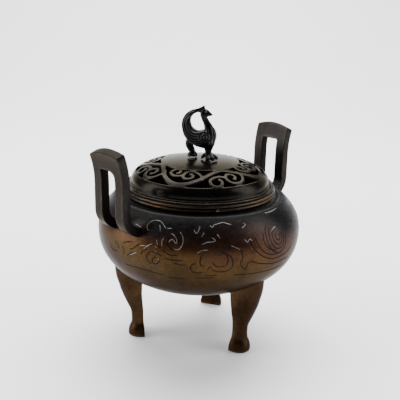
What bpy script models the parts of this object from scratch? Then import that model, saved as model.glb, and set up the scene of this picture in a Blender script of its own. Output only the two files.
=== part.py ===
# Bronze ding-shaped incense burner with a pierced lid and a bird finial.
# Metres, +Z up. The origin is on the bowl's axis at floor level, the two ears lie on the X axis
# and the first leg points towards -Y.

import math

import bmesh
import bpy
import numpy as np
from mathutils import Vector

MM = 0.001

# Bowl
belly_radius = 65.0 * MM
bowl_bottom_height = 35.0 * MM
belly_depth = 40.0 * MM
lower_fullness = 2.24
shoulder_rise = 36.0 * MM
shoulder_fullness = 2.1
bowl_wall = 3.0 * MM
turning_segments = 42

# Neck and rim
mouth_radius = 43.0 * MM
neck_wall = 4.2 * MM
neck_rise = 22.0 * MM
shoulder_ledge = 7.3 * MM
lower_bead_radius = 1.15 * MM
upper_bead_radius = 0.9 * MM
rim_chamfer = 0.6 * MM

# Legs
leg_count = 3
first_leg_angle = math.radians(-90.0)
leg_inner_distance = 37.6 * MM
foot_half_width = 7.3 * MM
foot_depth = 9.2 * MM
foot_height = 5.0 * MM
ankle_half_width = 5.1 * MM
ankle_depth = 6.5 * MM
ankle_height = 13.0 * MM
knee_half_width = 9.6 * MM
knee_depth = 13.6 * MM
knee_rise = 2.0 * MM
knee_set_back = 2.0 * MM
leg_root_rise = 17.0 * MM

# Ears
ear_thickness = 5.7 * MM
ear_bar_width = 7.25 * MM
ear_standoff = 4.8 * MM
ear_bend_radius = 10.7 * MM
ear_root_slope = math.radians(30.0)
ear_root_length = 9.0 * MM
ear_upright = 16.0 * MM
ear_flare_radius = 50.0 * MM
ear_flare_angle = math.radians(20.6)
ear_crown = 2.3 * MM
slot_half_width = 6.1 * MM
slot_top_rise = 9.6 * MM
slot_corner = 1.0 * MM
slot_worn_corner = 4.2 * MM

# Lid
rest_gap = 0.3 * MM
spigot_clearance = 0.4 * MM
spigot_depth = 4.0 * MM
spigot_wall = 2.4 * MM
flange_overhang = 0.4 * MM
flange_thickness = 1.1 * MM
flange_chamfer = 0.25 * MM
dome_inset = 3.6 * MM
dome_spring = 1.6 * MM
dome_rise = 14.4 * MM
dome_fullness = 2.3
lid_wall = 2.2 * MM
dome_flare = 1.3 * MM

# Openwork: a wave of eight lobes between two plain rings, each lobe holding two curls
openwork_margin = 3.0 * MM
openwork_width = 16.0 * MM
wave_count = 4
wave_start_angle = math.radians(-130.5)
wave_width = 2.8 * MM
curl_width = 2.0 * MM

# Finial
finial_heading = math.radians(-56.0)
finial_height = 34.0 * MM

# What follows from those sizes
belly_height = bowl_bottom_height + belly_depth
neck_height = belly_height + neck_rise
neck_radius = mouth_radius + neck_wall
shoulder_end_radius = neck_radius + shoulder_ledge
lower_bead_height = neck_height + 0.1 * MM + lower_bead_radius
upper_bead_height = lower_bead_height + lower_bead_radius + upper_bead_radius
rim_height = upper_bead_height + upper_bead_radius
knee_height = bowl_bottom_height + knee_rise
ear_half_width = slot_half_width + ear_bar_width
ear_centre_distance = belly_radius + ear_standoff
ear_bend_height = neck_height
ear_flare_height = ear_bend_height + ear_upright
slot_top_height = ear_flare_height + slot_top_rise
flange_radius = neck_radius + flange_overhang
flange_bottom = rim_height + rest_gap
flange_top = flange_bottom + flange_thickness
dome_radius = flange_radius - dome_inset
dome_base = flange_top + dome_spring
openwork_outer_radius = dome_radius - openwork_margin
openwork_inner_radius = openwork_outer_radius - openwork_width
disc_edge = openwork_inner_radius - 0.8 * MM
band_edge = openwork_outer_radius + 0.6 * MM


# Plain helpers

def remove_all():
    for item in list(bpy.data.objects):
        bpy.data.objects.remove(item)


def link(name, mesh):
    item = bpy.data.objects.new(name, mesh)
    bpy.context.scene.collection.objects.link(item)
    return item


def from_bmesh(name, bm):
    bmesh.ops.recalc_face_normals(bm, faces=bm.faces)
    mesh = bpy.data.meshes.new(name)
    bm.to_mesh(mesh)
    bm.free()
    return link(name, mesh)


def hidden(item):
    item.hide_render = True
    item.display_type = "WIRE"
    return item


def boolean(item, tool, operation):
    step = item.modifiers.new(operation.lower() + "_" + tool.name, "BOOLEAN")
    step.operation = operation
    step.solver = "EXACT"
    step.object = hidden(tool)


def applied(item):
    # The object's mesh with its modifiers, as a new bmesh.
    bpy.context.view_layer.update()
    graph = bpy.context.evaluated_depsgraph_get()
    bm = bmesh.new()
    bm.from_object(item, graph)
    return bm


def turned(name, profile, segments=turning_segments):
    # Spins a profile of (radius, height) points that starts and ends on the axis.
    bm = bmesh.new()
    points = [bm.verts.new((radius, 0.0, height)) for radius, height in profile]
    edges = [bm.edges.new(pair) for pair in zip(points, points[1:])]
    bmesh.ops.spin(bm, geom=points + edges, cent=(0, 0, 0), axis=(0, 0, 1),
                   angle=math.tau, steps=segments, use_merge=True)
    bmesh.ops.remove_doubles(bm, verts=bm.verts, dist=0.001 * MM)
    return from_bmesh(name, bm)


def loft(name, sections):
    # Skins closed loops of equal length and caps both ends.
    bm = bmesh.new()
    rings = [[bm.verts.new(point) for point in section] for section in sections]
    count = len(rings[0])
    for low, high in zip(rings, rings[1:]):
        for i in range(count):
            j = (i + 1) % count
            bm.faces.new((low[i], low[j], high[j], high[i]))
    bm.faces.new(rings[0])
    bm.faces.new(rings[-1])
    return from_bmesh(name, bm)


def prism(name, outline, along, low, high):
    # Extrudes an outline of 3D points along a unit vector, from low to high.
    direction = Vector(along)
    sections = [[Vector(point) + direction * reach for point in outline] for reach in (low, high)]
    return loft(name, sections)


def smooth_path(points, steps):
    # Catmull-Rom curve through the points, with steps per span.
    knots = np.asarray(points, float)
    ends = np.vstack([2 * knots[0] - knots[1], knots, 2 * knots[-1] - knots[-2]])
    curve = []
    for i in range(len(knots) - 1):
        a, b, c, d = ends[i:i + 4]
        for t in np.linspace(0, 1, steps, endpoint=False):
            curve.append(0.5 * (2 * b + (c - a) * t + (2 * a - 5 * b + 4 * c - d) * t ** 2
                                + (3 * b - a - 3 * c + d) * t ** 3))
    curve.append(knots[-1])
    return np.array(curve)


def bronze(name, colour, roughness):
    material = bpy.data.materials.new(name)
    material.use_nodes = True
    shader = material.node_tree.nodes["Principled BSDF"]
    shader.inputs["Base Color"].default_value = (*colour, 1.0)
    shader.inputs["Roughness"].default_value = roughness
    shader.inputs["Metallic"].default_value = 0.9
    return material


def finish(item, material, sharp_angle=35.0):
    item.data.materials.clear()
    item.data.materials.append(material)
    item.data.shade_smooth()
    item.data.set_sharp_from_angle(angle=math.radians(sharp_angle))


# Bowl

def superellipse(radius, rise, fullness, steps, end=math.pi / 2):
    # Quarter curve from (radius, 0) towards (0, rise).
    angles = np.linspace(0, end, steps)
    across = radius * np.cos(angles).clip(0) ** (2 / fullness)
    upward = rise * np.sin(angles) ** (2 / fullness)
    return list(zip(across, upward))


def bowl_outline(steps_below, steps_above):
    # Outside of the bowl from the bottom pole to the foot of the neck.
    drop = belly_height - bowl_bottom_height
    below = [(r, belly_height - z) for r, z in superellipse(belly_radius, drop, lower_fullness, steps_below)]
    end = math.acos((shoulder_end_radius / belly_radius) ** (shoulder_fullness / 2))
    above = [(r, belly_height + z)
             for r, z in superellipse(belly_radius, shoulder_rise, shoulder_fullness, steps_above, end)]
    ledge = [(neck_radius + 0.62 * (shoulder_end_radius - neck_radius), neck_height - 0.35 * MM),
             (neck_radius, neck_height)]
    return below[::-1] + above[1:] + ledge


def inset(outline, distance):
    # Moves a bottom-to-top outline towards the axis side by a distance along its normal.
    points = np.array(outline)
    slope = np.gradient(points, axis=0)
    slope[0] = (1, 0)
    slope /= np.linalg.norm(slope, axis=1)[:, None]
    moved = points + distance * np.stack([-slope[:, 1], slope[:, 0]], 1)
    moved[0, 0] = 0
    return [tuple(point) for point in moved]


def bead(radius, centre_height, steps=3):
    # Half-round bead on the neck, from its lower to its upper edge.
    angles = np.linspace(-math.pi / 2, math.pi / 2, steps + 1)
    return [(neck_radius + radius * math.cos(a), centre_height + radius * math.sin(a)) for a in angles]


def make_bowl():
    outer = bowl_outline(9, 6)
    shelf = neck_height - bowl_wall
    inner = [point for point in inset(bowl_outline(7, 4), bowl_wall) if point[1] < shelf - 0.5 * MM]
    inner.append((mouth_radius, shelf))
    rim = bead(lower_bead_radius, lower_bead_height) + bead(upper_bead_radius, upper_bead_height)[1:]
    mouth = [(mouth_radius + rim_chamfer, rim_height), (mouth_radius, rim_height - rim_chamfer)]
    profile = outer + rim + mouth + inner[::-1]
    return turned("vessel", profile)


def make_core():
    # Solid that trims the roots of legs and ears in the middle of the bowl's wall.
    halfway = inset(bowl_outline(9, 6), bowl_wall / 2)
    middle = [point for point in halfway if point[1] < neck_height - bowl_wall]
    return turned("wall_middle", middle + [(0.0, middle[-1][1])])


# Legs

def leg_stations():
    # Height, inner face distance, half width and depth, from the floor to inside the bowl's wall.
    sole = (0.0, leg_inner_distance, foot_half_width - 0.35 * MM, foot_depth - 0.35 * MM)
    waist = 0.5 * (foot_height + ankle_height)
    shin = ankle_height + 0.35 * (knee_height - ankle_height)
    calf = ankle_height + 0.68 * (knee_height - ankle_height)

    def between(low, high, share):
        return low + share * (high - low)

    return [
        sole,
        (0.5 * MM, leg_inner_distance, foot_half_width, foot_depth),
        (foot_height, leg_inner_distance, foot_half_width - 0.2 * MM, foot_depth - 0.4 * MM),
        (waist, leg_inner_distance + 0.2 * MM, between(ankle_half_width, foot_half_width, 0.4),
         between(ankle_depth, foot_depth, 0.22)),
        (ankle_height, leg_inner_distance + 0.6 * MM, ankle_half_width, ankle_depth),
        (ankle_height + 5 * MM, leg_inner_distance + 0.6 * MM, ankle_half_width, ankle_depth + 0.9 * MM),
        (shin, leg_inner_distance + 0.45 * knee_set_back, between(ankle_half_width, knee_half_width, 0.2),
         between(ankle_depth, knee_depth, 0.3)),
        (calf, leg_inner_distance + 0.9 * knee_set_back, between(ankle_half_width, knee_half_width, 0.66),
         between(ankle_depth, knee_depth, 0.52)),
        (knee_height, leg_inner_distance + knee_set_back, knee_half_width, knee_depth),
        (knee_height + 0.4 * leg_root_rise, leg_inner_distance + knee_set_back, knee_half_width + 0.6 * MM,
         knee_depth + 2.0 * MM),
        (knee_height + leg_root_rise, leg_inner_distance + knee_set_back, knee_half_width + 0.8 * MM,
         knee_depth + 2.8 * MM),
    ]


def leg_section(angle, height, inner, half_width, depth, steps=8):
    # Flat towards the axis, half an ellipse on the outside.
    outward = Vector((math.cos(angle), math.sin(angle), 0))
    sideways = Vector((-math.sin(angle), math.cos(angle), 0))
    points = []
    for turn in np.linspace(-math.pi / 2, math.pi / 2, steps + 1):
        reach = inner + depth * math.cos(turn)
        points.append(outward * reach + sideways * (half_width * math.sin(turn)) + Vector((0, 0, height)))
    return points


def make_leg(index, core):
    angle = first_leg_angle + index * math.tau / leg_count
    leg = loft(f"leg_{index}", [leg_section(angle, *station) for station in leg_stations()])
    boolean(leg, core, "DIFFERENCE")
    return leg


# Ears

def ear_path():
    # Middle line in the XZ plane: root, bend, upright and flare, as (distance, height, tilt).
    bend_centre = ear_centre_distance - ear_bend_radius
    path = []
    for tilt in np.linspace(ear_root_slope, math.pi / 2, 6):
        path.append((bend_centre + ear_bend_radius * math.sin(tilt),
                     ear_bend_height - ear_bend_radius * math.cos(tilt), tilt))
    first = path[0]
    path.insert(0, (first[0] - ear_root_length * math.cos(first[2]),
                    first[1] - ear_root_length * math.sin(first[2]), first[2]))
    flare_end = ear_flare_angle + 2 * ear_crown / ear_flare_radius
    for lean in np.linspace(0, flare_end, 6):
        path.append((ear_centre_distance + ear_flare_radius * (1 - math.cos(lean)),
                     ear_flare_height + ear_flare_radius * math.sin(lean), math.pi / 2 - lean))
    return path


def ear_section(side, distance, height, tilt):
    # Rectangle across the path.
    half = ear_thickness / 2
    across = Vector((side * math.sin(tilt), 0, -math.cos(tilt)))
    centre = Vector((side * distance, 0, height))
    width = Vector((0, ear_half_width, 0))
    return [centre - across * half - width, centre + across * half - width,
            centre + across * half + width, centre - across * half + width]


def crown_cutter(name, side, steps=10):
    # Everything above the ear's arched end, extruded across its thickness.
    lean = ear_flare_angle
    tip = Vector((side * (ear_centre_distance + ear_flare_radius * (1 - math.cos(lean))), 0,
                  ear_flare_height + ear_flare_radius * math.sin(lean)))
    up = Vector((side * math.sin(lean), 0, math.cos(lean)))
    across = Vector((side * math.cos(lean), 0, -math.sin(lean)))
    reach = ear_half_width + 2 * MM
    outline = []
    for y in np.linspace(-reach, reach, steps + 1):
        rise = ear_crown * (1 - (y / ear_half_width) ** 2)
        outline.append(tip + up * rise + Vector((0, y, 0)))
    outline.append(tip + up * 12 * MM + Vector((0, reach, 0)))
    outline.append(tip + up * 12 * MM + Vector((0, -reach, 0)))
    return prism(name, outline, across, -ear_thickness, ear_thickness)


def slot_cutter(name, side, near_corner):
    # Upright slot with rounded top corners, open down to the bowl.
    bottom = belly_height
    outline = [Vector((0, -slot_half_width, bottom)), Vector((0, slot_half_width, bottom))]
    for sign, radius in ((1, slot_corner), (-1, near_corner)):
        turns = np.linspace(0, math.pi / 2, 5)
        if sign < 0:
            turns = turns[::-1]
        for turn in turns:
            y = sign * (slot_half_width - radius + radius * math.cos(turn))
            outline.append(Vector((0, y, slot_top_height - radius + radius * math.sin(turn))))
    reach = ear_thickness + 12 * MM
    middle = side * ear_centre_distance
    return prism(name, outline, (1, 0, 0), middle - reach, middle + reach)


def make_ear(label, side, near_corner, core):
    ear = loft(f"ear_{label}", [ear_section(side, *station) for station in ear_path()])
    boolean(ear, crown_cutter(f"ear_{label}_crown", side), "DIFFERENCE")
    boolean(ear, slot_cutter(f"ear_{label}_slot", side, near_corner), "DIFFERENCE")
    boolean(ear, core, "DIFFERENCE")
    return ear


def make_vessel():
    vessel = make_bowl()
    core = hidden(make_core())
    for index in range(leg_count):
        boolean(vessel, make_leg(index, core), "UNION")
    boolean(vessel, make_ear("left", -1, slot_worn_corner, core), "UNION")
    boolean(vessel, make_ear("right", 1, slot_corner, core), "UNION")
    finish(vessel, bronze("brown_bronze", (0.115, 0.062, 0.028), 0.42))
    return vessel


# Lid

def dome_top(radius):
    # Height of the dome's outside at a distance from the axis.
    share = min(radius / dome_radius, 1.0) ** (dome_fullness / 2)
    return dome_base + dome_rise * math.sin(math.acos(share)) ** (2 / dome_fullness)


def dome_drop(radius):
    # How far the dome has fallen below its crown; constant outside the openwork.
    return dome_top(0.0) - dome_top(min(radius, band_edge))


def lid_profile():
    # Closed turned profile of the lid, crown to underside.
    spigot_outer = mouth_radius - spigot_clearance
    spigot_inner = spigot_outer - spigot_wall
    crown = [(r, dome_top(r)) for r in (0.0, 0.5 * disc_edge, disc_edge, band_edge)]
    side = [(r, dome_top(r)) for r in (dome_radius - 0.9 * MM, dome_radius)]
    flare = [(dome_radius + 0.25 * dome_flare, flange_top + 0.5 * dome_spring),
             (dome_radius + dome_flare, flange_top)]
    flange = [(flange_radius - flange_chamfer, flange_top), (flange_radius, flange_top - flange_chamfer),
              (flange_radius, flange_bottom)]
    spigot_end = flange_bottom - spigot_depth
    spigot = [(spigot_outer, flange_bottom), (spigot_outer, spigot_end), (spigot_inner, spigot_end)]
    inside = [(spigot_inner, flange_top), (band_edge, dome_base + 0.6 * MM),
              (band_edge, dome_top(band_edge) - lid_wall)]
    ceiling = [(r, dome_top(r) - lid_wall) for r in (disc_edge, 0.0)]
    return crown + side + flare + flange + spigot + inside + ceiling


def on_ring(run, reach, outward, start):
    # Lobe coordinates in metres: run along the ring, reach away from the ring that the lobe hangs on.
    middle = 0.5 * (openwork_inner_radius + openwork_outer_radius)
    angle = start - run / middle
    radius = openwork_inner_radius + reach if outward else openwork_outer_radius - reach
    return Vector((radius * math.cos(angle), radius * math.sin(angle), 0))


def ribbon(name, centre_line, width, tip_share=1.0):
    # Upright band along a flat line, wide enough to stand for a strap; its end may be narrower.
    line = np.array([tuple(point) for point in centre_line])[:, :2]
    along = np.gradient(line, axis=0)
    along /= np.linalg.norm(along, axis=1)[:, None]
    across = np.stack([-along[:, 1], along[:, 0]], 1)
    half = 0.5 * width * np.linspace(1.0, tip_share, len(line))[:, None]
    left = line + across * half
    right = line - across * half
    nose = line[-1:] + along[-1:] * half[-1]
    outline = [Vector((x, y, 0)) for x, y in np.vstack([left, nose, right[::-1]])]
    return prism(name, outline, (0, 0, 1), -lid_wall - 2 * MM, 2 * MM)


lobe_run = math.pi / wave_count * 0.5 * (openwork_inner_radius + openwork_outer_radius)
lobe_reach = openwork_outer_radius - openwork_inner_radius


def scroll_points(centre, turns_and_radii, steps):
    # A scroll about its eye: radii at a few turns, in quarter turns and shares of the lobe's run.
    turns, radii = np.array(turns_and_radii).T
    along = np.linspace(0, len(turns) - 1, steps)
    turn = np.interp(along, range(len(turns)), turns) * math.pi / 2
    radius = np.interp(along, range(len(radii)), radii) * lobe_run
    return [(centre[0] + r * math.cos(t), centre[1] + r * math.sin(t)) for r, t in zip(radius, turn)]


def big_curl():
    # Leaves the wave at the lobe's start, arches past the ring and rolls back on itself.
    centre = (0.367 * lobe_run, 0.388 * lobe_reach)
    path = [(1.72, 0.36), (2.5, 0.235), (3, 0.181), (4, 0.124), (5, 0.143), (6, 0.116), (6.5, 0.075)]
    return scroll_points(centre, path, 12)


def small_curl():
    # Leaves the big curl's back and hooks up against the lobe's ring.
    centre = (0.745 * lobe_run, 0.247 * lobe_reach)
    path = [(1.75, 0.262), (1, 0.139), (0, 0.131), (-1, 0.151), (-2, 0.112), (-2.3, 0.095)]
    return scroll_points(centre, path, 10)


def lobe_straps(index):
    # The wave's half turn and both curls of one lobe; every other lobe is mirrored.
    outward = index % 2 == 0
    start = wave_start_angle - index * math.pi / wave_count
    swing = 0.5 * lobe_reach - 0.4 * wave_width
    wave = []
    for share in np.linspace(-0.03, 1.03, 8):
        reach = 0.5 * lobe_reach + swing * math.sin(math.pi * share)
        wave.append((share * lobe_run, reach))
    lines = {"wave": (wave, wave_width, 1.0), "big": (big_curl(), curl_width, 0.75),
             "small": (small_curl(), curl_width, 0.75)}
    straps = []
    for part, (line, width, tip_share) in lines.items():
        placed = [on_ring(run, reach, outward, start) for run, reach in line]
        straps.append(ribbon(f"strap_{part}_{index}", placed, width, tip_share))
    return straps


def make_openings():
    # Every opening at once: a ring as deep as the lid, less the straps.
    low = -lid_wall - 1 * MM
    high = 1 * MM
    profile = [(openwork_inner_radius, high), (openwork_outer_radius, high),
               (openwork_outer_radius, low), (openwork_inner_radius, low), (openwork_inner_radius, high)]
    bm = bmesh.new()
    points = [bm.verts.new((radius, 0.0, height)) for radius, height in profile[:-1]]
    edges = [bm.edges.new((points[i], points[(i + 1) % 4])) for i in range(4)]
    bmesh.ops.spin(bm, geom=points + edges, cent=(0, 0, 0), axis=(0, 0, 1),
                   angle=math.tau, steps=turning_segments, use_merge=True)
    bmesh.ops.remove_doubles(bm, verts=bm.verts, dist=0.001 * MM)
    ring = hidden(from_bmesh("openings", bm))
    for index in range(2 * wave_count):
        for strap in lobe_straps(index):
            boolean(ring, strap, "DIFFERENCE")
    return ring


def make_lid():
    # Cut while the dome is pressed flat, then raised: the openings keep their plan outline.
    flat = turned("lid_flat", [(r, z + dome_drop(r) - dome_top(0.0)) for r, z in lid_profile()])
    boolean(flat, make_openings(), "DIFFERENCE")
    bm = applied(hidden(flat))
    cut = {vert for vert in bm.verts if math.hypot(vert.co.x, vert.co.y) > disc_edge + 0.1 * MM}
    cut_edges = [edge for edge in bm.edges if edge.verts[0] in cut and edge.verts[1] in cut]
    bmesh.ops.dissolve_limit(bm, angle_limit=math.radians(0.5), verts=list(cut), edges=cut_edges)
    bmesh.ops.triangulate(bm, faces=bm.faces, quad_method="BEAUTY", ngon_method="BEAUTY")
    for vert in bm.verts:
        vert.co.z += dome_top(0.0) - dome_drop(math.hypot(vert.co.x, vert.co.y))
    lid = from_bmesh("lid", bm)
    finish(lid, bronze("dark_bronze", (0.060, 0.046, 0.036), 0.38))
    return lid


# Finial: a crested bird in mid-stride whose tail sweeps up and over to its head.
# It is laid out in shares of its own height, counted in 34ths: forward, height, half height, half width.

unit = finial_height / 34.0


def placed(forward, right, height):
    # From the bird's own grid to a place around its standing point.
    heading = Vector((math.cos(finial_heading), math.sin(finial_heading), 0))
    side = Vector((math.sin(finial_heading), -math.cos(finial_heading), 0))
    return (heading * forward + side * right + Vector((0, 0, height))) * unit


def limb(name, stations, sides=8, flute=0.0, right=0.0):
    # Sweeps oval sections along stations of (forward, height, half height, half width).
    # A flute above zero makes every other side stand in, as ribs do.
    table = np.array(stations, float)
    path = table[:, :2]
    along = np.gradient(path, axis=0)
    along /= np.linalg.norm(along, axis=1)[:, None]
    sections = []
    for (forward, height, tall, wide), (run, rise) in zip(table, along):
        section = []
        for i in range(sides):
            turn = math.tau * i / sides
            share = 1.0 - flute * (i % 2)
            up = tall * share * math.cos(turn)
            out = wide * share * math.sin(turn)
            section.append(placed(forward - rise * up, right + out, height + run * up))
        sections.append(section)
    return loft(name, sections)


def toe(name, ankle, tip):
    # Tapering toe from the ankle to its tip on the lid, both as (forward, right).
    sections = []
    for share, thick, height in ((0.0, 1.5, 2.6), (0.45, 1.2, 1.5), (0.85, 1.0, 0.9), (1.0, 0.4, 0.4)):
        forward = ankle[0] + share * (tip[0] - ankle[0])
        right = ankle[1] + share * (tip[1] - ankle[1])
        across = Vector((ankle[1] - tip[1], tip[0] - ankle[0])).normalized()
        section = []
        for i in range(6):
            turn = math.tau * (i + 0.5) / 6
            out = thick * math.cos(turn)
            up = 0.8 * thick * math.sin(turn)
            section.append(placed(forward + across.x * out, right + across.y * out, max(height + up, 0.0)))
        sections.append(section)
    return loft(name, sections)


def crest(name):
    # Thin comb that joins the tip of the tail to the top of the head.
    outline = [(-6.6, 29.8), (-4.7, 30.5), (-2.1, 31.2), (0.2, 32.4), (1.9, 33.6), (2.2, 31.4),
               (2.6, 29.0), (0.0, 29.0), (-2.2, 29.2), (-4.6, 28.9)]
    sections = [[placed(f, right, h) for f, h in outline] for right in (-0.8, 0.8)]
    return loft(name, sections)


def make_finial():
    tail_and_body = smooth_path([
        (-2.6, 30.1, 1.0, 1.3), (-5.8, 28.7, 1.45, 1.6), (-8.3, 26.2, 2.0, 2.0), (-9.3, 22.9, 2.65, 2.4),
        (-9.0, 19.2, 3.2, 2.8), (-7.6, 16.3, 3.8, 3.2), (-5.0, 13.8, 4.6, 3.9), (-1.6, 12.6, 5.2, 4.5),
        (2.6, 12.5, 6.0, 4.9), (5.6, 12.7, 5.0, 4.2), (7.9, 12.9, 2.6, 2.6)], 2)
    neck = smooth_path([
        (4.4, 10.2, 2.6, 2.6), (5.4, 12.5, 4.0, 3.8), (5.9, 15.6, 4.0, 3.7), (5.2, 18.6, 3.1, 3.0),
        (3.9, 22.0, 2.15, 2.1), (2.3, 24.8, 1.65, 1.7), (1.9, 27.3, 2.0, 1.9), (2.1, 29.4, 2.1, 1.9),
        (2.2, 31.0, 1.0, 1.0)], 1)
    body = limb("tail_and_body", tail_and_body, 12, 0.13)
    pieces = [
        limb("neck", neck, 10),
        limb("beak", [(2.0, 29.3, 1.9, 1.7), (4.3, 29.0, 1.5, 1.2), (6.0, 28.8, 0.8, 0.6),
                      (7.0, 28.5, 0.15, 0.15)], 8),
        crest("crest"),
        limb("rear_leg", [(-5.8, 13.0, 2.5, 1.7), (-7.5, 9.0, 2.3, 1.8), (-7.3, 6.8, 2.3, 1.7),
                          (-5.9, 4.4, 1.9, 1.5), (-5.6, 2.2, 1.6, 1.4), (-5.9, 0.0, 1.6, 1.4)], 8, 0.0, -1.9),
        limb("front_leg", [(5.5, 13.5, 4.1, 3.0), (5.6, 10.4, 3.5, 2.6), (5.3, 7.4, 2.5, 2.0),
                           (5.2, 4.6, 1.75, 1.7), (5.2, 2.0, 1.5, 1.6), (5.3, 0.0, 1.4, 1.5)], 8, 0.0, 1.3),
    ]
    front_tips = ((1.2, 3.2), (6.4, 8.6), (9.6, 7.2), (11.6, 2.9))
    rear_tips = ((-3.2, -3.9), (-3.6, -1.2), (-7.4, 0.8))
    for index, tip in enumerate(front_tips):
        pieces.append(toe(f"front_toe_{index}", (5.3, 1.6), tip))
    for index, tip in enumerate(rear_tips):
        pieces.append(toe(f"rear_toe_{index}", (-5.6, -1.9), tip))
    for piece in pieces:
        boolean(body, piece, "UNION")
    bird = from_bmesh("bird_finial", applied(hidden(body)))
    bird.location.z = dome_top(0.0) + rest_gap
    finish(bird, bronze("black_bronze", (0.030, 0.028, 0.032), 0.36), 50.0)
    return bird


remove_all()
make_vessel()
make_lid()
make_finial()
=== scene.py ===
# Looks of the ding-shaped bronze incense burner: fine surfaces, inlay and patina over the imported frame.
import math

import bmesh
import bpy
import numpy as np
from mathutils import Matrix, Vector


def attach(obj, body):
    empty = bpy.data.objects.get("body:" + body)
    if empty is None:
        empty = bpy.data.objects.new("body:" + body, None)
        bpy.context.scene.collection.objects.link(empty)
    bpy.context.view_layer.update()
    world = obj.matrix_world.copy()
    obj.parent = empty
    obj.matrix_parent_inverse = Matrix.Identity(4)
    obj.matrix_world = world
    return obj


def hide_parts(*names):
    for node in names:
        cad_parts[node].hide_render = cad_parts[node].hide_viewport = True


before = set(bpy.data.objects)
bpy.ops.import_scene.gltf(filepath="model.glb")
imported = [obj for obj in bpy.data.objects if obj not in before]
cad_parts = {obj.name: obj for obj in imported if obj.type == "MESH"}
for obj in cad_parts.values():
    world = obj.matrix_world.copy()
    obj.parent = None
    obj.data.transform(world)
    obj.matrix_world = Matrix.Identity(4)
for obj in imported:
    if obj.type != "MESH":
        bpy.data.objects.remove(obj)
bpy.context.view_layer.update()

mm = 0.001  # shapes below are worked out in millimetres


def placed(name, data):
    item = bpy.data.objects.new(name, data)
    bpy.context.scene.collection.objects.link(item)
    return item


# Camera, at the photograph's angle

cameraSetup = {
    "azimuth": -44.49, "elevation": 16.74, "roll": 1.32,  # degrees
    "distance": 434.7, "aimRight": 0.44, "aimHeight": 90.75,  # millimetres
    "sensor": 36.0, "lensOverWidth": 1.677,  # focal length as a share of the picture's width
}


def outlook(azimuth, elevation):
    # Unit vector from the object to a viewer or light at these degrees; azimuth 0 is the -Y side.
    a, e = math.radians(azimuth), math.radians(elevation)
    return Vector((math.sin(a) * math.cos(e), -math.cos(a) * math.cos(e), math.sin(e)))


def buildCamera():
    s = cameraSetup
    a, t = math.radians(s["azimuth"]), math.radians(s["roll"])
    back = outlook(s["azimuth"], s["elevation"])
    level = Vector((math.cos(a), math.sin(a), 0))
    upright = back.cross(level)
    right = level * math.cos(t) + upright * math.sin(t)
    up = upright * math.cos(t) - level * math.sin(t)
    spot = level * s["aimRight"] + Vector((0, 0, s["aimHeight"])) + back * s["distance"]
    data = bpy.data.cameras.new("camera")
    data.sensor_width = s["sensor"]
    data.lens = s["sensor"] * s["lensOverWidth"]
    data.clip_start = 0.01
    item = placed("camera", data)
    turn = Matrix((right, up, back)).transposed().to_4x4()
    item.matrix_world = Matrix.Translation(spot * mm) @ turn
    bpy.context.scene.camera = item


buildCamera()
print("camera placed")


# Mesh helpers, all on whole arrays

def addMarks(mesh, marks):
    # Point attributes that the finishes read: wear, and painted shade for hollows and shaded faces, both from 0 to 1.
    for key, values in marks.items():
        layer = mesh.attributes.new(key, "FLOAT", "POINT")
        layer.data.foreach_set("value", values.astype(np.float32))


def meshOf(name, points, faceSets, marks=None):
    # One mesh from points (millimetres), index arrays by corner count, and point attributes.
    corners = np.concatenate([faces.ravel() for faces in faceSets]).astype(np.int32)
    sizes = np.concatenate([np.full(len(faces), faces.shape[1]) for faces in faceSets])
    starts = np.concatenate([[0], np.cumsum(sizes)[:-1]]).astype(np.int32)
    mesh = bpy.data.meshes.new(name)
    mesh.vertices.add(len(points))
    mesh.vertices.foreach_set("co", (points * mm).astype(np.float32).ravel())
    mesh.loops.add(len(corners))
    mesh.loops.foreach_set("vertex_index", corners)
    mesh.polygons.add(len(sizes))
    mesh.polygons.foreach_set("loop_start", starts)
    addMarks(mesh, marks or {})
    mesh.update(calc_edges=True)
    mesh.validate()
    return mesh


def gridFaces(rows, columns, wrap=True):
    # Quads of a rows x columns grid of points, closed along its columns when wrap is set.
    i = np.arange(rows - 1)[:, None]
    j = np.arange(columns if wrap else columns - 1)[None, :]
    k = (j + 1) % columns
    quads = np.stack([i * columns + j, i * columns + k, (i + 1) * columns + k, (i + 1) * columns + j], -1)
    return quads.reshape(-1, 4)


def facingOut(points, quads):
    # The quads as they are, or turned round when the volume they enclose comes out negative.
    a, b, c, d = (points[quads[:, i]] for i in range(4))
    volume = np.einsum("ij,ij->", a, np.cross(b, c)) + np.einsum("ij,ij->", a, np.cross(c, d))
    return quads if volume > 0 else quads[:, ::-1]


def tube(grid):
    # Points, side quads and the two end faces of a tube given as (rings, sides, 3).
    rings, sides = grid.shape[:2]
    points, ring = grid.reshape(-1, 3), np.arange(sides)[None, :]
    return points, [facingOut(points, gridFaces(rings, sides)), ring[:, ::-1], (rings - 1) * sides + ring]


def merged(parts):
    # Several (points, face sets) as one, with the later parts' indices moved on.
    starts = np.cumsum([0] + [len(points) for points, _ in parts])
    sets = [faces + start for start, (_, own) in zip(starts, parts) for faces in own]
    return np.vstack([points for points, _ in parts]), sets


def polar(radius, angle, *height):
    # Points (r cos t, r sin t), with a height where one is given.
    return np.stack([radius * np.cos(angle), radius * np.sin(angle), *height], -1)


def arcPoints(centre, radius, start, end, count):
    return np.array(centre) + polar(radius, np.radians(np.linspace(start, end, count)))


def bell(value, middle, spread):
    # A smooth hump: exp(-((value - middle) / spread)^2).
    return np.exp(-((value - middle) / spread) ** 2)


def fade(value, zero, one):
    # A straight ramp from 0 at one value to 1 at another.
    return ((value - zero) / (one - zero)).clip(0, 1)


def lengths(curve):
    return np.concatenate([[0], np.cumsum(np.linalg.norm(np.diff(curve, axis=0), axis=1))])


def directions(curve):
    slope = np.gradient(curve, axis=0)
    return slope / np.linalg.norm(slope, axis=1)[:, None]


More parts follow.
